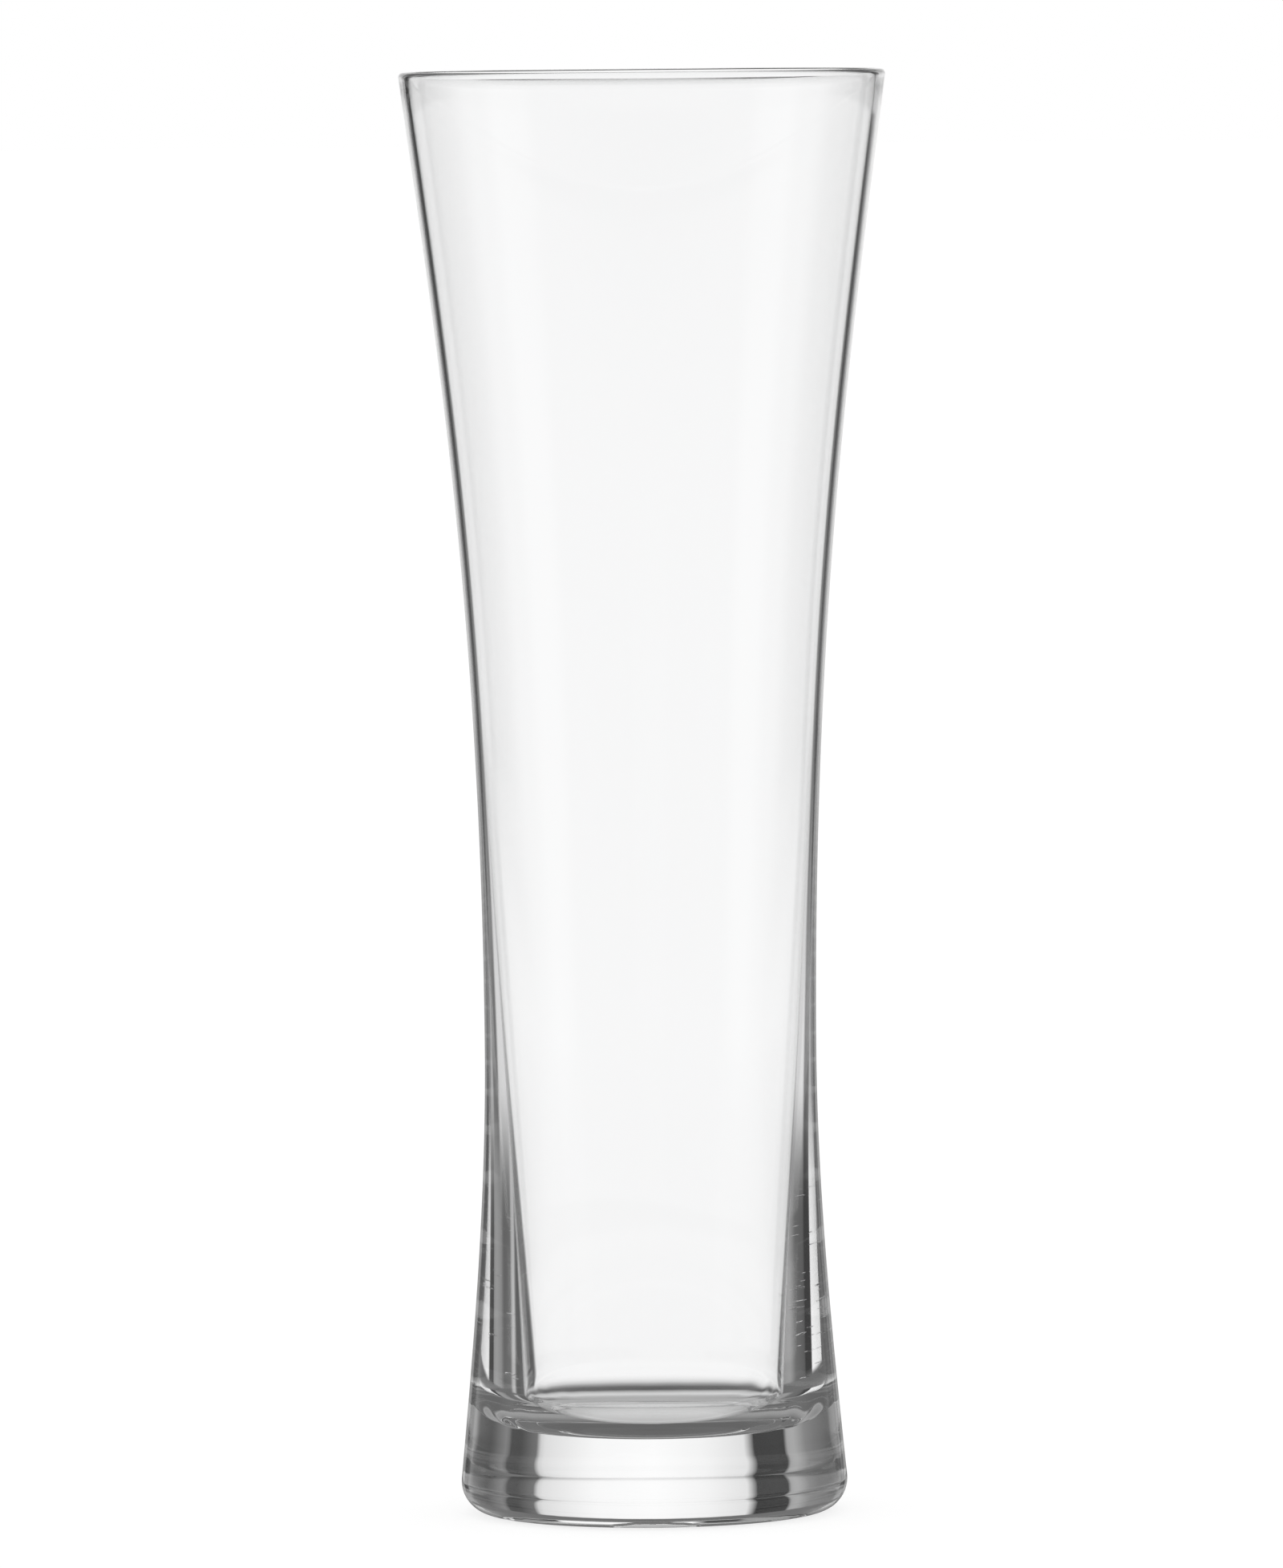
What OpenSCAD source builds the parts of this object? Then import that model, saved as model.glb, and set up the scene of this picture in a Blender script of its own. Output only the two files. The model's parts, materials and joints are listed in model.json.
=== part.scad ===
// Weizen glass: tall flared bowl, narrow waist and a thick solid foot, all turned about +Z.
// Origin: centre of the face that it stands on. Millimetres.

/* [Overall] */
// Height from the table to the top of the lip
glass_h = 255; // [235:1:280]

/* [Outer line] */
// Widest diameter at the rim
rim_d = 85.9; // [76:0.1:98]
// Outer diameter at the chosen height on the bowl
bowl_d = 67.7; // [62:0.1:74]
// Height above the table at which bowl_d is taken
bowl_d_h = 180; // [150:1:205]
// Outer diameter at the narrowest place
waist_d = 58.7; // [54:0.1:61]
// Height of the narrowest place
waist_d_h = 82; // [60:1:110]
// Widest diameter of the foot
foot_d = 68.4; // [64:0.1:78]
// Radius of the round heel, from the side down to the table
heel_r = 5.5; // [3:0.1:8]

/* [Wall and floor] */
// Thickness of the thin wall, measured level
wall_t = 1.5; // [1:0.1:2.4]
// Thickness of the fire-polished lip
lip_t = 1.8; // [1.2:0.1:2.8]
// Height of the band in which the wall swells to the lip
lip_h = 6; // [4:0.5:12]
// Height above the table from which the wall thickens downwards
thick_from_h = 141; // [125:1:170]
// Height of the middle of the floor above the table
floor_h = 13.5; // [10:0.5:24]
// Inner diameter at the bottom of the inner wall, above the fillet
floor_d = 46.8; // [42:0.1:50]
// Radius of the large fillet between the floor and the inner wall
floor_fillet_r = 8; // [3:0.5:12]
// Radius of the floor's shallow dish
floor_dish_r = 160; // [80:10:400]

/* [Underside] */
// Width of the flat ring that the glass stands on
bearing_w = 1.2; // [0.8:0.1:4]
// Depth of the flat recess inside that ring
hollow_h = 3.4; // [1:0.1:4]
// Radius of the fillet round the recess, no more than its depth
hollow_fillet_r = 2.9; // [0.5:0.1:4]

/* [Zones] */
// Height above the table at which the waist zone ends and the bowl zone starts
waist_top_h = 120; // [100:1:145]

/* [Hidden] */

// Clear glass with the slightest cool tint
glass_rgba = [0.86, 0.9, 0.92, 0.45];
// Sides of each turned surface
turn_sides = 144;
// Straight steps along a zone's outer or inner line, and along an arc
line_steps = 14;
arc_steps = 10;

// Lean of a line at a place, as a share of its mean lean to the next named diameter
foot_lean_share = 1.56;
bowl_lean_share = 1.21;
rim_lean_share = 1.1;
well_lean_share = 0.78;

// Each place on a line is [height, radius, lean], with lean as radius gained for each unit of height
foot_lean = foot_lean_share * (waist_d - foot_d) / 2 / (waist_d_h - heel_r);
heel_a = atan(-foot_lean);
foot_at = [
    heel_r * (1 + sin(heel_a)),
    foot_d / 2 - heel_r * (1 - cos(heel_a)),
    foot_lean
];
waist_at = [waist_d_h, waist_d / 2, 0];
lip_c = [rim_d / 2 - lip_t / 2, glass_h - lip_t / 2];
bowl_at = [
    bowl_d_h,
    bowl_d / 2,
    bowl_lean_share * (rim_d - waist_d) / 2 / (lip_c[1] - waist_d_h)
];
rim_lean = rim_lean_share * (rim_d - bowl_d) / 2 / (lip_c[1] - bowl_d_h);
rim_a = atan(rim_lean);
rim_at = [
    lip_c[1] - lip_t / 2 * sin(rim_a),
    lip_c[0] + lip_t / 2 * cos(rim_a),
    rim_lean
];

// The fillet runs out on the dish of the floor, and the waist zone starts where it does
fillet_r = floor_d / 2 - floor_fillet_r;
dish_a = asin(fillet_r / (floor_dish_r - floor_fillet_r));
dish_c = [0, floor_h + floor_dish_r];
fillet_c = dish_c + (floor_dish_r - floor_fillet_r) * [sin(dish_a), -cos(dish_a)];
base_top_h = dish_c[1] - floor_dish_r * cos(dish_a);

// The well is the hollow below thick_from_h: its side starts on the fillet and ends in the thin wall
thin_at = [
    thick_from_h,
    outer_r(thick_from_h) - wall_t,
    outer_lean(thick_from_h)
];
well_lean = well_lean_share * (thin_at[1] - floor_d / 2) / (thick_from_h - floor_h);
well_a = atan(well_lean);
well_at = [
    fillet_c[1] - floor_fillet_r * sin(well_a),
    fillet_c[0] + floor_fillet_r * cos(well_a),
    well_lean
];

// The flat bearing ring, and the edge of the flat recess inside it
bearing_outer_r = foot_d / 2 - heel_r;
bearing_inner_r = bearing_outer_r - bearing_w;
recess_edge_r = min(hollow_fillet_r, hollow_h);
recess_edge_c = [bearing_inner_r - recess_edge_r, hollow_h - recess_edge_r];

// Top of the bowl zone
lip_from_h = glass_h - lip_h;

// Radius at height z on the cubic between places a and b
function cubic_r(a, b, z) =
    let (span = b[0] - a[0])
    let (t = (z - a[0]) / span)
    a[1] * (1 - t) * (1 - t) * (1 + 2 * t)
    + b[1] * t * t * (3 - 2 * t)
    + span * t * (1 - t) * (a[2] * (1 - t) - b[2] * t);

// Lean at height z of the same cubic
function cubic_lean(a, b, z) =
    let (span = b[0] - a[0])
    let (t = (z - a[0]) / span)
    6 * t * (1 - t) * (b[1] - a[1]) / span
    + a[2] * (1 - t) * (1 - 3 * t)
    + b[2] * t * (3 * t - 2);

// Lower and upper place of the stretch of the outer line that holds height z
function outer_ends(z) =
    z < waist_d_h ? [foot_at, waist_at]
    : z < bowl_d_h ? [waist_at, bowl_at]
    : [bowl_at, rim_at];

function outer_r(z) = cubic_r(outer_ends(z)[0], outer_ends(z)[1], z);

function outer_lean(z) = cubic_lean(outer_ends(z)[0], outer_ends(z)[1], z);

// Share of the swell from thin wall to lip that height z has reached
function swell_share(z) =
    let (t = max(0, (z - lip_from_h) / (rim_at[0] - lip_from_h)))
    t * t;

function inner_r(z) =
    z < thick_from_h ? cubic_r(well_at, thin_at, z)
    : outer_r(z) - wall_t - (lip_t - wall_t) * swell_share(z);

// Points of a line between two heights, upwards on the outside or downwards on the inside
function outer_line(z0, z1) =
    [for (i = [0:line_steps]) let (z = z0 + (z1 - z0) * i / line_steps) [outer_r(z), z]];

function inner_line(z0, z1) =
    [for (i = [0:line_steps]) let (z = z1 + (z0 - z1) * i / line_steps) [inner_r(z), z]];

// Points of an arc about centre c, from angle a0 to angle a1
function arc(c, r, a0, a1) =
    [for (i = [0:arc_steps]) let (a = a0 + (a1 - a0) * i / arc_steps) c + r * [cos(a), sin(a)]];

module turned(outline) {
    color(glass_rgba)
        rotate_extrude($fn = turn_sides)
            polygon(outline);
}

// Solid foot: flat recess below, flat ring, round heel, outer side and dished floor
module base() {
    recess = [for (p = arc(recess_edge_c, recess_edge_r, 90, 0)) if (p[1] > 0) p];
    heel = arc([bearing_outer_r, heel_r], heel_r, -90, heel_a);
    side = [for (p = outer_line(foot_at[0], base_top_h)) if (p[1] > foot_at[0]) p];
    dish = arc(dish_c, floor_dish_r, dish_a - 90, -90);
    turned(concat([[0, hollow_h]], recess, [[bearing_inner_r, 0]], heel, side, dish));
}

// Thick wall round the well, with the fillet that runs out on the dish
module waist() {
    fillet = arc(fillet_c, floor_fillet_r, -well_a, dish_a - 90);
    side = [for (p = inner_line(well_at[0], waist_top_h)) if (p[1] > well_at[0]) p];
    turned(concat(outer_line(base_top_h, waist_top_h), side, fillet));
}

// Thin flared wall
module bowl() {
    turned(concat(outer_line(waist_top_h, lip_from_h), inner_line(waist_top_h, lip_from_h)));
}

// Lip: the wall swells a little and ends in a half-round
module rim() {
    bead = arc(lip_c, lip_t / 2, -rim_a, 180 - rim_a);
    outer_side = [for (p = outer_line(lip_from_h, rim_at[0])) if (p[1] < rim_at[0]) p];
    inner_side = [for (p = inner_line(lip_from_h, rim_at[0])) if (p[1] < rim_at[0]) p];
    turned(concat(outer_side, bead, inner_side));
}

base();
waist();
bowl();
rim();
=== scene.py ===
import json
import math

import bpy
import numpy as np
from mathutils import Matrix, Vector

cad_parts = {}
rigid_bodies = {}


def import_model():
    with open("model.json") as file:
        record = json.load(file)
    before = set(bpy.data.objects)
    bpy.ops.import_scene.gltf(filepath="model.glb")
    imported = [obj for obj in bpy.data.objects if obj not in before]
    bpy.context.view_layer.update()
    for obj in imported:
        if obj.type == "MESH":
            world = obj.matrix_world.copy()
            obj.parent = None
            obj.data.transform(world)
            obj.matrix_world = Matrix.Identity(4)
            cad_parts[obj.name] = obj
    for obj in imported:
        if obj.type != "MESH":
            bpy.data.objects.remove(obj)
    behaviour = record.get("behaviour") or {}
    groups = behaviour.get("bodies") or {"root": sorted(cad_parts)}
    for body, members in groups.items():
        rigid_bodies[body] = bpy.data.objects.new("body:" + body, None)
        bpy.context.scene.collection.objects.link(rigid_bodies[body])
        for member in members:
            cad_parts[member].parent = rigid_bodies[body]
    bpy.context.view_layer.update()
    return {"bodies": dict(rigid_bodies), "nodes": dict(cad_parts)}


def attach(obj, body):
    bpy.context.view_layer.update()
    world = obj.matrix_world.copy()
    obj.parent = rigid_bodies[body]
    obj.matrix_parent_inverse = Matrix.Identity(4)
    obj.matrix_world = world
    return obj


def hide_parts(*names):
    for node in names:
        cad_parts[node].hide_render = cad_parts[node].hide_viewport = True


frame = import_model()
scene = bpy.context.scene

# Driving sizes of the glass in metres, the same as in the part's source
GLASS_H = 0.255
RIM_D = 0.0859
BOWL_D = 0.0677
BOWL_D_H = 0.180
WAIST_D = 0.0587
WAIST_D_H = 0.082
FOOT_D = 0.0684
HEEL_R = 0.0055
WALL_T = 0.0015
LIP_T = 0.0018
LIP_H = 0.006
THICK_FROM_H = 0.141
FLOOR_H = 0.0135
FLOOR_D = 0.0468
FLOOR_FILLET_R = 0.008
FLOOR_DISH_R = 0.160
BEARING_W = 0.0012
HOLLOW_H = 0.0034
HOLLOW_FILLET_R = 0.0029

# Lean of a line at a place, as a share of its mean lean to the next named diameter
FOOT_LEAN_SHARE = 1.56
BOWL_LEAN_SHARE = 1.21
RIM_LEAN_SHARE = 1.1
WELL_LEAN_SHARE = 0.78

# How finely the section is drawn and turned
TURN_SIDES = 240
RECESS_STEPS = 6
RECESS_EDGE_STEPS = 10
HEEL_STEPS = 20
LIP_STEPS = 16
FILLET_STEPS = 26
DISH_STEPS = 12
# Rings up the walls lie closer together in the curved lower part
LOW_RING_STEP = 0.0015
HIGH_RING_STEP = 0.003
HIGH_RINGS_FROM = 0.12

# Only the inner corner of the standing ring is sharper than this
SHARP_FROM = math.radians(60)

# Unevenness of blown glass: the depth of its waves, how many of them go round the axis, and the most that
# each drifts round along its stretch, in radians
FILLET_WAVE = 0.0014
FILLET_LOBES = range(4, 28)
FILLET_DRIFT = 12
DISH_WAVE = 0.000004
DISH_LOBES = range(1, 6)
DISH_DRIFT = 4
WELL_WAVE = 0.000008
WELL_LOBES = range(2, 6)
WELL_DRIFT = 16
HEEL_WAVE = 0.00012
HEEL_LOBES = range(17, 100, 6)
HEEL_DRIFT = 3
# At the front and back the fillet's waves have only this share of their depth, from which they rise steeply
# to the two sides
FILLET_FRONT_SHARE = 0.02
FILLET_SIDE_POWER = 10

GLASS_COLOUR = (0.997, 0.998, 0.999, 1)
GLASS_IOR = 1.5

# Where the closing mould has chilled the outer side of the foot: fine level marks, in patches on two sides.
# In each pair the marks are absent at the first value and full at the second.
MARK_DEPTH = 0.00004
MARKS_OUTSIDE_R = 0.027
MARKS_FROM_H = (0.018, 0.022)
MARKS_UP_TO_H = (0.062, 0.038)
# Share of x squared in the distance from the axis squared
MARKS_TO_SIDE = (0.88, 0.97)
# Scale of the noise per metre, for the marks level and upwards, and the noise at which marks and patches
# show
MARK_NOISE = (70, 70, 2200)
MARK_DETAIL = 1
MARK_FROM = (0.64, 0.7)
PATCH_NOISE = 90
PATCH_FROM = (0.46, 0.58)

# The photographed view: a long lens far off, a little above the glass and leaning a little.
# The photograph's height and the focal length are in its pixels.
PHOTO_H = 1955
FOCAL_PX = 18183
SENSOR = 36.0
CLIP_END = 1000
CAMERA_AT = Vector((-0.00117, -2.574, 0.2729))
CAMERA_PITCH = math.radians(3.2)
CAMERA_ROLL = math.radians(-0.53)

# The studio round the glass is brightness by direction, in lists of (azimuth, level). Azimuths are in
# degrees, 0 straight ahead of the photographed view and growing to the right.
# Through the foot, a white panel stands between two black flags, with a thin strip of light at each side
SEEN_IN_FOOT = [
    (-100, 0.38), (-92, 0.4), (-91.5, 0.95), (-88.5, 0.95), (-88, 0.36), (-68, 0.32), (-62, 0.1),
    (-42, 0.22), (-36, 0.4), (-33, 0.34), (-32.4, 0.02), (-21.4, 0.02), (-20.8, 0.76), (-10, 0.94),
    (0, 1.02), (12, 0.98), (26.5, 0.72), (27.8, 0.14), (34, 0.04), (39, 0.04), (39.6, 0.21),
    (50, 0.07), (62, 0.08), (68, 0.32), (88, 0.36), (90, 0.95), (92, 0.4), (100, 0.38),
]
# Through the thin wall of the bowl the same panel and flags show, in a light room with narrow dark bands
SEEN_IN_BOWL = [
    (-180, 1.02), (-157, 1.02), (-155, 0.1), (-146, 0.1), (-144, 0.98), (-126, 0.98), (-124, 0.1),
    (-115, 0.1), (-113, 1.02), (-67, 1.02), (-65, 0.1), (-57, 0.1), (-54, 0.95), (-40, 0.95),
    (-34, 0.05), (-25.6, 0.05), (-24.6, 1.0), (31, 1.0), (33.5, 0.05), (39, 0.05), (43, 0.95),
    (54, 0.95), (57, 0.1), (65, 0.1), (67, 1.02), (113, 1.02), (115, 0.1), (124, 0.1), (126, 0.98),
    (144, 0.98), (146, 0.1), (156, 1.02),
]
# Reflections see the panel and the flags as well
REFLECTED = [
    (-180, 0.6), (-124, 0.6), (-118, 0.74), (-100, 0.74), (-94, 0.6), (-80, 0.6), (-66, 0.15),
    (-48, 0.17), (-42, 0.22), (-36, 0.4), (-33, 0.34), (-32.4, 0.02), (-21.4, 0.02), (-20.8, 0.76),
    (-10, 0.94), (0, 1.02), (12, 0.98), (26.5, 0.72), (27.8, 0.14), (34, 0.04), (39, 0.04),
    (39.6, 0.21), (50, 0.07), (66, 0.15), (80, 0.6), (94, 0.6), (100, 0.74), (118, 0.74),
    (124, 0.6),
]
# Those that go down a little, as in the bowl, see a light room with a flag and a soft lamp to each side
REFLECTED_ROOM = [
    (-180, 0.56), (-124, 0.58), (-117, 0.78), (-101, 0.78), (-94, 0.62), (-60, 0.68), (-33, 0.74),
    (-30, 0.05), (-20.5, 0.05), (-18.5, 0.44), (0, 0.4), (18.5, 0.5), (20.5, 0.05), (30, 0.05),
    (33, 0.74), (60, 0.68), (94, 0.62), (101, 0.78), (117, 0.78), (124, 0.58),
]
# Those that go down further, as in the thick wall, see a narrower panel
REFLECTED_LOW = [
    (-180, 0.5), (-90, 0.5), (-75, 0.2), (-56, 0.08), (-53, 0.1), (-51, 0.5), (-48, 0.45),
    (-46, 0.14), (-36, 0.12), (-31, 0.28), (-24, 0.36), (-18.5, 0.33), (-17.5, 0.04), (-9, 0.04),
    (-7.5, 1.1), (19.5, 1.1), (21, 0.03), (31, 0.03), (33, 0.1), (46, 0.13), (54, 0.32), (60, 0.3),
    (66, 0.2), (90, 0.5),
]

# The brightness changes with the ray's elevation in degrees. In each pair the change starts at the first
# value and is full at the second.
# Down through the foot from high above, or back past the camera, a ray sees what the bowl shows
FROM_ABOVE = (-17, -18.5)
PAST_CAMERA_AZIMUTH = (96, 100)
# Straight through the foot a dark band lies still further down
BAND_FROM = (-34, -38)
BAND_TO = (-52, -56)
BAND_LEVEL = 0.12
# Reflections that go down see REFLECTED_ROOM and then REFLECTED_LOW, and those that go up grow dimmer
ROOM_FROM = (-2, -4.5)
LOW_FROM = (-12, -16)
DIM_FROM = (12, 15.5)
DIM_SHARE = 0.38
# The ceiling starts higher up in reflections
CEILING_FROM = (13, 15)
CEILING_REFLECTED_FROM = (17, 24)
CEILING_LEVEL = 0.15
CEILING_LEVEL_IN_BOWL = 0.55
# Light that is mirrored over and over comes to one level between these numbers of reflections
MANY_TIMES = (2, 6)
MANY_LEVEL = 0.13
# A ray is refracted twice by the solid foot and four times by the two walls of the bowl
MOST_REFRACTIONS_IN_FOOT = 3

# The floor is wide and just under the glass. The camera sees it white, with the glass's shadow.
FLOOR_HALF = 20
FLOOR_BELOW = 0.0001
FLOOR_COLOUR = (0.25, 0.25, 0.25, 1)
FLOOR_GLOW = 0.8
# In the glass the floor shows only close by, as a painted shadow of the glass with lighter and darker rings,
# in lists of (distance from the axis, level). It ends between the two distances of a pair. This is how the
# bowl shows it.
FLOOR_SHADE_IN_BOWL = [
    (0, 0.5), (0.015, 0.58), (0.025, 0.38), (0.036, 0.36), (0.04, 0.46), (0.0425, 0.72),
    (0.045, 0.55), (0.048, 0.06), (0.051, 0.08), (0.054, 0.3), (0.057, 0.6), (0.062, 0.8),
]
FLOOR_SHADE_ENDS = (0.055, 0.07)
# Reflections see the painted shadow dark under the foot
FLOOR_SHADE_REFLECTED = [(0, 0.09), (0.026, 0.11), (0.034, 0.3), (0.062, 0.5)]
# Straight through the foot the painted shadow ends closer by
FLOOR_SHADE_IN_FOOT = [(0, 0.12), (0.026, 0.12), (0.034, 0.4), (0.05, 0.6)]
FLOOR_SHADE_IN_FOOT_ENDS = (0.04, 0.048)

# Reflections also see a painted shadow of the glass on the floor, as a round one about the foot and a
# stripe behind it. In each pair of distances the shadow is absent at the first and full at the second.
SHADOW_LEVEL = 0.13
# Inside a circle about this place, and outside one about the axis
SHADOW_AT = (0.006, 0, 0)
SHADOW_INSIDE = (0.09, 0.086)
SHADOW_OUTSIDE = (0.068, 0.076)
STRIPE_AT_X = 0.012
STRIPE_HALF = (0.02, 0.016)
STRIPE_LENGTH = (0.2, 0.15)

# Light stays in the thick wall for hundreds of reflections, and leaves black spots where it is ended sooner
MAX_BOUNCES = 512
GLOSSY_BOUNCES = 480
TRANSMISSION_BOUNCES = 24
TRANSPARENT_BOUNCES = 16


def set_camera():
    """The camera of the photographed view."""
    data = bpy.data.cameras.new("camera")
    data.sensor_width = SENSOR
    data.lens = FOCAL_PX * SENSOR / PHOTO_H
    data.clip_end = CLIP_END
    camera = bpy.data.objects.new("camera", data)
    tilt = Matrix.Rotation(math.pi / 2 - CAMERA_PITCH, 4, "X")
    roll = Matrix.Rotation(CAMERA_ROLL, 4, "Z")
    camera.matrix_world = Matrix.Translation(CAMERA_AT) @ tilt @ roll
    scene.collection.objects.link(camera)
    scene.camera = camera


class Cubic:
    """The cubic between two places on a line, each (height, radius, lean)."""

    def __init__(self, low, high):
        self.low = low
        self.high = high

    def radius(self, z):
        span = self.high[0] - self.low[0]
        t = (z - self.low[0]) / span
        ends = self.low[1] * (1 - t) ** 2 * (1 + 2 * t) + self.high[1] * t * t * (3 - 2 * t)
        return ends + span * t * (1 - t) * (self.low[2] * (1 - t) - self.high[2] * t)


def outer_stations():
    """Foot, waist, bowl and rim places of the outer line."""
    foot_lean = FOOT_LEAN_SHARE * (WAIST_D - FOOT_D) / 2 / (WAIST_D_H - HEEL_R)
    heel_a = math.atan(-foot_lean)
    foot_r = FOOT_D / 2 - HEEL_R * (1 - math.cos(heel_a))
    foot = (HEEL_R * (1 + math.sin(heel_a)), foot_r, foot_lean)
    lip_z = GLASS_H - LIP_T / 2
    lip_r = RIM_D / 2 - LIP_T / 2
    bowl_lean = BOWL_LEAN_SHARE * (RIM_D - WAIST_D) / 2 / (lip_z - WAIST_D_H)
    rim_lean = RIM_LEAN_SHARE * (RIM_D - BOWL_D) / 2 / (lip_z - BOWL_D_H)
    rim_a = math.atan(rim_lean)
    rim = (lip_z - LIP_T / 2 * math.sin(rim_a), lip_r + LIP_T / 2 * math.cos(rim_a), rim_lean)
    return foot, (WAIST_D_H, WAIST_D / 2, 0), (BOWL_D_H, BOWL_D / 2, bowl_lean), rim


FOOT, WAIST, BOWL, RIM = outer_stations()
LIP_A = math.atan(RIM[2])
HEEL_A = math.atan(-FOOT[2])


def outer_r(z):
    """Outer radius at height z, above the heel and below the lip's half-round."""
    pair = (FOOT, WAIST) if z < WAIST_D_H else (WAIST, BOWL) if z < BOWL_D_H else (BOWL, RIM)
    return Cubic(*pair).radius(z)


def fillet_centre():
    """Centre (radius, height) of the floor's fillet, which runs out on the dished floor."""
    r = FLOOR_D / 2 - FLOOR_FILLET_R
    return r, FLOOR_H + FLOOR_DISH_R - math.sqrt((FLOOR_DISH_R - FLOOR_FILLET_R) ** 2 - r * r)


def well_line():
    """The cubic of the inner wall from the floor's fillet to where the wall is thin."""
    step = 1e-5
    lean = (outer_r(THICK_FROM_H + step) - outer_r(THICK_FROM_H - step)) / (2 * step)
    thin = (THICK_FROM_H, outer_r(THICK_FROM_H) - WALL_T, lean)
    well_lean = WELL_LEAN_SHARE * (thin[1] - FLOOR_D / 2) / (THICK_FROM_H - FLOOR_H)
    a = math.atan(well_lean)
    centre = fillet_centre()
    low_z = centre[1] - FLOOR_FILLET_R * math.sin(a)
    low_r = centre[0] + FLOOR_FILLET_R * math.cos(a)
    return Cubic((low_z, low_r, well_lean), thin)


WELL = well_line()
WELL_A = math.atan(WELL.low[2])


def inner_r(z):
    """Inner radius at height z, above the floor's fillet and below the lip's half-round."""
    if z < THICK_FROM_H:
        return WELL.radius(z)
    swell = max(0, (z - GLASS_H + LIP_H) / (RIM[0] - GLASS_H + LIP_H)) ** 2
    return outer_r(z) - WALL_T - (LIP_T - WALL_T) * swell


def arc(centre, r, start, end, steps):
    """Points (radius, height) of an arc, its first point left out."""
    angles = [start + (end - start) * i / steps for i in range(1, steps + 1)]
    return [(centre[0] + r * math.cos(a), centre[1] + r * math.sin(a)) for a in angles]


def heights(low, high):
    """Heights of the rings from low to high."""
    found = [low]
    while found[-1] < high:
        found.append(found[-1] + (LOW_RING_STEP if found[-1] < HIGH_RINGS_FROM else HIGH_RING_STEP))
    return found[:-1] + [high]


def stretches():
    """The closed section as named stretches of (radius, height), up the outside and down the inside."""
    bearing_out = FOOT_D / 2 - HEEL_R
    hollow_r = bearing_out - BEARING_W
    ceiling_r = hollow_r - HOLLOW_FILLET_R
    edge_c = (ceiling_r, HOLLOW_H - HOLLOW_FILLET_R)
    heel_c = (bearing_out, HEEL_R)
    lip_c = (RIM_D / 2 - LIP_T / 2, GLASS_H - LIP_T / 2)
    fillet_c = fillet_centre()
    dish_c = (0, FLOOR_H + FLOOR_DISH_R)
    dish_a = math.asin(fillet_c[0] / (FLOOR_DISH_R - FLOOR_FILLET_R)) - math.pi / 2
    return {
        "recess": [(ceiling_r * i / RECESS_STEPS, HOLLOW_H) for i in range(RECESS_STEPS + 1)],
        "recess_edge": arc(edge_c, HOLLOW_FILLET_R, math.pi / 2, 0, RECESS_EDGE_STEPS),
        "ring": [(hollow_r, 0), (bearing_out, 0)],
        "heel": arc(heel_c, HEEL_R, -math.pi / 2, HEEL_A, HEEL_STEPS),
        "side": [(outer_r(z), z) for z in heights(FOOT[0], RIM[0])[1:]],
        "lip": arc(lip_c, LIP_T / 2, -LIP_A, math.pi - LIP_A, LIP_STEPS),
        "well": [(inner_r(z), z) for z in reversed(heights(WELL.low[0], RIM[0]))],
        "fillet": arc(fillet_c, FLOOR_FILLET_R, -WELL_A, dish_a, FILLET_STEPS),
        "dish": arc(dish_c, FLOOR_DISH_R, dish_a, -math.pi / 2, DISH_STEPS),
    }


# Angles round the axis of each ring's points
ANGLE = np.arange(TURN_SIDES) * 2 * math.pi / TURN_SIDES


def waves(rng, lobes, most_drift, along):
    """Seeded unevenness between -1 and 1, round the axis and along a stretch."""
    total = np.zeros((len(along), TURN_SIDES))
    for n in lobes:
        phase = rng.uniform(0, 2 * math.pi)
        drift = rng.uniform(-most_drift, most_drift)
        total += np.cos(n * ANGLE + drift * along[:, None] + phase)
    return total / len(lobes)


def uneven(name, points):
    """The stretch's rings of (radius, height) at each angle, with the unevenness of blown glass."""
    rng = np.random.default_rng(len(points))
    r = np.repeat(points[:, :1], TURN_SIDES, axis=1)
    z = np.repeat(points[:, 1:], TURN_SIDES, axis=1)
    share = np.linspace(0, 1, len(points) + 2)[1:-1]
    swell = np.sin(math.pi * share)[:, None]
    if name == "fillet":
        sides = FILLET_FRONT_SHARE + (1 - FILLET_FRONT_SHARE) * np.cos(ANGLE) ** FILLET_SIDE_POWER
        z += FILLET_WAVE * swell * sides * waves(rng, FILLET_LOBES, FILLET_DRIFT, share)
    if name == "dish":
        z += DISH_WAVE * swell * waves(rng, DISH_LOBES, DISH_DRIFT, share)
    if name == "well":
        r += WELL_WAVE * swell * waves(rng, WELL_LOBES, WELL_DRIFT, share)
    if name in ("heel", "recess_edge"):
        r -= HEEL_WAVE * swell * (1 + waves(rng, HEEL_LOBES, HEEL_DRIFT, share)) / 2
    return np.stack([r * np.cos(ANGLE), r * np.sin(ANGLE), z], axis=-1).reshape(-1, 3)


def turned_faces(rings):
    """Faces between the rings, then a fan from each of the two points on the axis that follow them."""
    faces = []
    for i in range(rings - 1):
        a = i * TURN_SIDES
        b = a + TURN_SIDES
        for j in range(TURN_SIDES):
            k = (j + 1) % TURN_SIDES
            faces.append((a + j, a + k, b + k, b + j))
    first_tip = rings * TURN_SIDES
    last_tip = first_tip + 1
    last_ring = first_tip - TURN_SIDES
    for j in range(TURN_SIDES):
        k = (j + 1) % TURN_SIDES
        faces.append((first_tip, k, j))
        faces.append((last_tip, last_ring + j, last_ring + k))
    return faces


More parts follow.
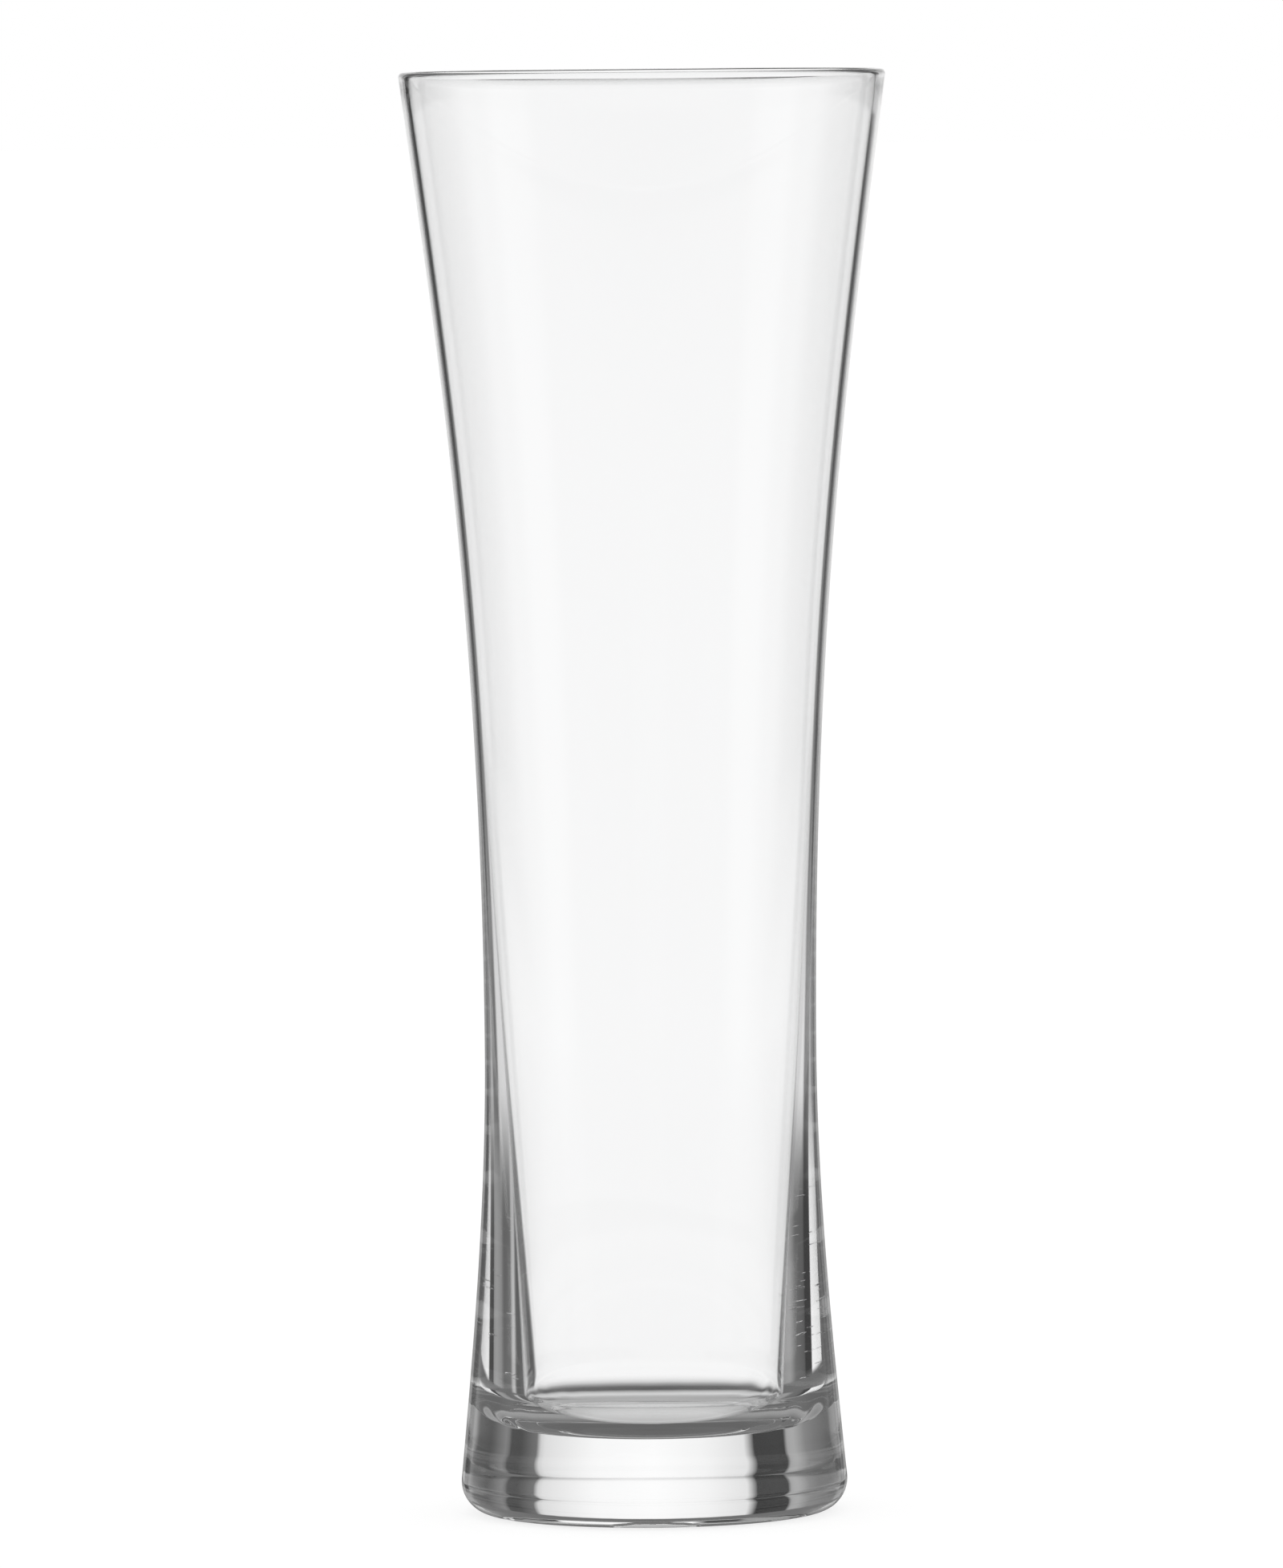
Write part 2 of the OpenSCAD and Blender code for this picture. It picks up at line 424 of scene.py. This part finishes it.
def turned_mesh(name):
    """The whole glass as one closed smooth mesh, whose section starts and ends on the axis."""
    lines = {key: np.array(points, dtype=float) for key, points in stretches().items()}
    tips = [(0, 0, lines["recess"][0, 1]), (0, 0, lines["dish"][-1, 1])]
    lines["recess"] = lines["recess"][1:]
    lines["dish"] = lines["dish"][:-1]
    body = np.concatenate([uneven(key, points) for key, points in lines.items()])
    mesh = bpy.data.meshes.new(name)
    mesh.from_pydata(body.tolist() + tips, [], turned_faces(len(body) // TURN_SIDES))
    mesh.shade_smooth()
    mesh.set_sharp_from_angle(angle=SHARP_FROM)
    mesh.validate()
    return mesh


def link(tree, source, target):
    """Links an output to an input."""
    tree.links.new(source, target)


def feed(tree, value, socket):
    """Gives a socket a number, or links another socket to it."""
    if isinstance(value, (int, float)):
        socket.default_value = value
    else:
        link(tree, value, socket)


def math_node(tree, operation, *values):
    """The output of a Math node on sockets or numbers."""
    node = tree.nodes.new("ShaderNodeMath")
    node.operation = operation
    for value, socket in zip(values, node.inputs):
        feed(tree, value, socket)
    return node.outputs[0]


def vector_node(tree, operation, vector):
    """A Vector Math node on a vector."""
    node = tree.nodes.new("ShaderNodeVectorMath")
    node.operation = operation
    link(tree, vector, node.inputs[0])
    return node


def axes(tree, vector):
    """The X, Y and Z of a vector."""
    split = tree.nodes.new("ShaderNodeSeparateXYZ")
    link(tree, vector, split.inputs[0])
    return split.outputs


def rise(tree, value, start, end):
    """Goes smoothly from 0 to 1 as value goes from start to end, also downwards."""
    node = tree.nodes.new("ShaderNodeMapRange")
    node.interpolation_type = "SMOOTHSTEP"
    link(tree, value, node.inputs["Value"])
    node.inputs["From Min"].default_value = start
    node.inputs["From Max"].default_value = end
    return node.outputs["Result"]


def blend(tree, share, low, high):
    """low where share is 0 and high where it is 1."""
    node = tree.nodes.new("ShaderNodeMix")
    for value, socket in zip((share, low, high), (node.inputs[0], node.inputs[2], node.inputs[3])):
        feed(tree, value, socket)
    return node.outputs[0]


def mix_shader(tree, share, low, high):
    """The shader low where share is 0 and high where it is 1."""
    node = tree.nodes.new("ShaderNodeMixShader")
    for value, socket in zip((share, low, high), node.inputs):
        link(tree, value, socket)
    return node.outputs[0]


def emission(tree, strength):
    """White light of a strength."""
    node = tree.nodes.new("ShaderNodeEmission")
    feed(tree, strength, node.inputs["Strength"])
    return node.outputs[0]


def ramp(tree, value, stops):
    """Level by a value from 0 to 1, from a list of (value, level) stops."""
    node = tree.nodes.new("ShaderNodeValToRGB")
    elements = node.color_ramp.elements
    elements.remove(elements[-1])
    for i, (place, level) in enumerate(stops):
        element = elements[0] if i == 0 else elements.new(place)
        element.position = place
        element.color = (level, level, level, 1)
    link(tree, value, node.inputs["Fac"])
    return node.outputs["Color"]


class Ray:
    """How a ray came: its reflections so far, and 0 or 1 for mirrored, for in the bowl and for in glass."""

    def __init__(self, tree):
        path = tree.nodes.new("ShaderNodeLightPath").outputs
        self.reflections = path["Glossy Depth"]
        self.mirrored = math_node(tree, "GREATER_THAN", self.reflections, 0)
        self.in_bowl = math_node(tree, "GREATER_THAN", path["Transmission Depth"], MOST_REFRACTIONS_IN_FOOT)
        self.in_glass = math_node(tree, "MAXIMUM", path["Is Glossy Ray"], path["Is Transmission Ray"])


def chill_marks(tree):
    """Height of fine short level marks low on the two sides of the foot."""
    place = tree.nodes.new("ShaderNodeTexCoord").outputs["Object"]
    stretch = vector_node(tree, "MULTIPLY", place)
    stretch.inputs[1].default_value = MARK_NOISE
    grain = tree.nodes.new("ShaderNodeTexNoise")
    grain.inputs["Scale"].default_value = 1
    grain.inputs["Detail"].default_value = MARK_DETAIL
    link(tree, stretch.outputs["Vector"], grain.inputs["Vector"])
    patch = tree.nodes.new("ShaderNodeTexNoise")
    patch.inputs["Scale"].default_value = PATCH_NOISE
    link(tree, place, patch.inputs["Vector"])
    x, y, z = axes(tree, place)
    x_squared = math_node(tree, "MULTIPLY", x, x)
    r_squared = math_node(tree, "ADD", x_squared, math_node(tree, "MULTIPLY", y, y))
    least = MARKS_OUTSIDE_R ** 2
    to_side = math_node(tree, "DIVIDE", x_squared, math_node(tree, "MAXIMUM", r_squared, least))
    height = rise(tree, grain.outputs["Fac"], *MARK_FROM)
    for share in (
        rise(tree, patch.outputs["Fac"], *PATCH_FROM),
        rise(tree, z, *MARKS_FROM_H),
        rise(tree, z, *MARKS_UP_TO_H),
        rise(tree, to_side, *MARKS_TO_SIDE),
        math_node(tree, "GREATER_THAN", r_squared, least),
    ):
        height = math_node(tree, "MULTIPLY", height, share)
    return height


def glass_material():
    """Clear smooth glass with chill marks."""
    material = bpy.data.materials.new("clear_glass")
    material.use_nodes = True
    tree = material.node_tree
    shader = tree.nodes["Principled BSDF"]
    shader.inputs["Base Color"].default_value = GLASS_COLOUR
    shader.inputs["Roughness"].default_value = 0.0
    shader.inputs["IOR"].default_value = GLASS_IOR
    shader.inputs["Transmission Weight"].default_value = 1.0
    bump = tree.nodes.new("ShaderNodeBump")
    bump.inputs["Distance"].default_value = MARK_DEPTH
    link(tree, chill_marks(tree), bump.inputs["Height"])
    link(tree, bump.outputs["Normal"], shader.inputs["Normal"])
    return material


def make_glass():
    """The whole glass in the place of all four solids, because the real one has no surfaces inside it."""
    mesh = turned_mesh("glass")
    mesh.materials.append(glass_material())
    glass = bpy.data.objects.new("glass", mesh)
    scene.collection.objects.link(glass)
    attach(glass, list(frame["bodies"])[0])
    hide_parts(*frame["nodes"])


class Direction:
    """A ray's direction: azimuth in radians, turn from 0 to 1 once round, and slope, its elevation's sine."""

    def __init__(self, tree):
        self.tree = tree
        x, y, self.slope = axes(tree, tree.nodes.new("ShaderNodeTexCoord").outputs["Generated"])
        self.azimuth = math_node(tree, "ARCTAN2", x, y)
        self.turn = math_node(tree, "MULTIPLY_ADD", self.azimuth, 1 / (2 * math.pi), 0.5)

    def past(self, elevations):
        """Goes smoothly from 0 to 1 from the first to the second of two elevations in degrees."""
        start, end = (math.sin(math.radians(a)) for a in elevations)
        return rise(self.tree, self.slope, start, end)

    def level(self, stops):
        """Brightness from a list of (azimuth in degrees, level) stops."""
        return ramp(self.tree, self.turn, [(angle / 360 + 0.5, level) for angle, level in stops])


def seen_level(tree, toward, ray):
    """Brightness of the studio straight through the glass."""
    aside = math_node(tree, "ABSOLUTE", toward.azimuth)
    past_camera = rise(tree, aside, *(math.radians(a) for a in PAST_CAMERA_AZIMUTH))
    as_in_bowl = math_node(tree, "MAXIMUM", ray.in_bowl, toward.past(FROM_ABOVE))
    as_in_bowl = math_node(tree, "MAXIMUM", as_in_bowl, past_camera)
    level = blend(tree, as_in_bowl, toward.level(SEEN_IN_FOOT), toward.level(SEEN_IN_BOWL))
    band = math_node(tree, "SUBTRACT", toward.past(BAND_FROM), toward.past(BAND_TO))
    band = math_node(tree, "MULTIPLY", band, math_node(tree, "SUBTRACT", 1, ray.in_bowl))
    return blend(tree, band, level, BAND_LEVEL)


def mirrored_level(tree, toward):
    """Brightness of the studio by way of a reflection in the glass."""
    level = blend(tree, toward.past(ROOM_FROM), toward.level(REFLECTED), toward.level(REFLECTED_ROOM))
    level = blend(tree, toward.past(LOW_FROM), level, toward.level(REFLECTED_LOW))
    dim = math_node(tree, "MULTIPLY", toward.past(DIM_FROM), DIM_SHARE)
    return math_node(tree, "MULTIPLY", level, math_node(tree, "SUBTRACT", 1, dim))


def make_world():
    """White all round, except by way of glass, where it is the studio."""
    world = bpy.data.worlds.new("studio")
    scene.world = world
    world.use_nodes = True
    tree = world.node_tree
    tree.nodes.clear()
    toward = Direction(tree)
    ray = Ray(tree)
    level = blend(tree, ray.mirrored, seen_level(tree, toward, ray), mirrored_level(tree, toward))
    high = blend(tree, ray.mirrored, toward.past(CEILING_FROM), toward.past(CEILING_REFLECTED_FROM))
    level = blend(tree, high, level, blend(tree, ray.in_bowl, CEILING_LEVEL, CEILING_LEVEL_IN_BOWL))
    level = blend(tree, rise(tree, ray.reflections, *MANY_TIMES), level, MANY_LEVEL)
    back = tree.nodes.new("ShaderNodeBackground")
    back.inputs["Color"].default_value = (1, 1, 1, 1)
    link(tree, blend(tree, ray.in_glass, 1, level), back.inputs["Strength"])
    out = tree.nodes.new("ShaderNodeOutputWorld")
    link(tree, back.outputs[0], out.inputs["Surface"])


def plain_floor(tree):
    """The floor as the camera sees it."""
    diffuse = tree.nodes.new("ShaderNodeBsdfDiffuse")
    diffuse.inputs["Color"].default_value = FLOOR_COLOUR
    add = tree.nodes.new("ShaderNodeAddShader")
    link(tree, diffuse.outputs[0], add.inputs[0])
    link(tree, emission(tree, FLOOR_GLOW), add.inputs[1])
    return add.outputs[0]


def floor_shade_level(tree, reach, stops):
    """Brightness of the painted shade from a list of (distance from the axis, level) stops."""
    full = FLOOR_SHADE_ENDS[1]
    share = math_node(tree, "DIVIDE", reach, full)
    return ramp(tree, share, [(distance / full, level) for distance, level in stops])


def painted_floor_shade(tree, reach, ray):
    """The painted shadow on the near floor as the glass shows it, clear further off."""
    in_foot = floor_shade_level(tree, reach, FLOOR_SHADE_IN_FOOT)
    level = blend(tree, ray.in_bowl, in_foot, floor_shade_level(tree, reach, FLOOR_SHADE_IN_BOWL))
    level = blend(tree, ray.mirrored, level, floor_shade_level(tree, reach, FLOOR_SHADE_REFLECTED))
    ends_in_foot = rise(tree, reach, *FLOOR_SHADE_IN_FOOT_ENDS)
    ends = blend(tree, ray.in_bowl, ends_in_foot, rise(tree, reach, *FLOOR_SHADE_ENDS))
    clear = tree.nodes.new("ShaderNodeBsdfTransparent")
    return mix_shader(tree, ends, emission(tree, level), clear.outputs[0])


def shadow_share(tree, place, reach, ray):
    """How much of the glass's painted shadow lies at a place, for mirrored rays."""
    offset = vector_node(tree, "SUBTRACT", place)
    offset.inputs[1].default_value = SHADOW_AT
    from_middle = vector_node(tree, "LENGTH", offset.outputs["Vector"]).outputs["Value"]
    at = axes(tree, place)
    aside = math_node(tree, "ABSOLUTE", math_node(tree, "SUBTRACT", at["X"], STRIPE_AT_X))
    stripe = math_node(tree, "MULTIPLY", rise(tree, aside, *STRIPE_HALF), rise(tree, reach, *STRIPE_LENGTH))
    stripe = math_node(tree, "MULTIPLY", stripe, math_node(tree, "GREATER_THAN", at["Y"], 0))
    share = math_node(tree, "MAXIMUM", stripe, rise(tree, from_middle, *SHADOW_INSIDE))
    share = math_node(tree, "MULTIPLY", share, rise(tree, reach, *SHADOW_OUTSIDE))
    return math_node(tree, "MULTIPLY", share, ray.mirrored)


def floor_material():
    """Plain for the camera; by way of glass only painted shade near the glass and its painted shadow."""
    material = bpy.data.materials.new("floor")
    material.use_nodes = True
    tree = material.node_tree
    tree.nodes.clear()
    ray = Ray(tree)
    place = tree.nodes.new("ShaderNodeNewGeometry").outputs["Position"]
    reach = vector_node(tree, "LENGTH", place).outputs["Value"]
    near = painted_floor_shade(tree, reach, ray)
    # By way of glass the painted shadow is a dark glow on the floor
    in_glass = mix_shader(tree, shadow_share(tree, place, reach, ray), near, emission(tree, SHADOW_LEVEL))
    out = tree.nodes.new("ShaderNodeOutputMaterial")
    link(tree, mix_shader(tree, ray.in_glass, plain_floor(tree), in_glass), out.inputs["Surface"])
    return material


def make_floor():
    """The wide floor under the glass, which is part of the studio."""
    half = FLOOR_HALF
    mesh = bpy.data.meshes.new("floor")
    corners = [(-half, -half, 0), (half, -half, 0), (half, half, 0), (-half, half, 0)]
    mesh.from_pydata(corners, [], [(0, 1, 2, 3)])
    mesh.materials.append(floor_material())
    floor = bpy.data.objects.new("floor", mesh)
    floor.location.z = -FLOOR_BELOW
    scene.collection.objects.link(floor)


set_camera()
make_glass()
make_world()
make_floor()
scene.view_settings.view_transform = "Standard"
scene.cycles.max_bounces = MAX_BOUNCES
scene.cycles.glossy_bounces = GLOSSY_BOUNCES
scene.cycles.transmission_bounces = TRANSMISSION_BOUNCES
scene.cycles.transparent_max_bounces = TRANSPARENT_BOUNCES
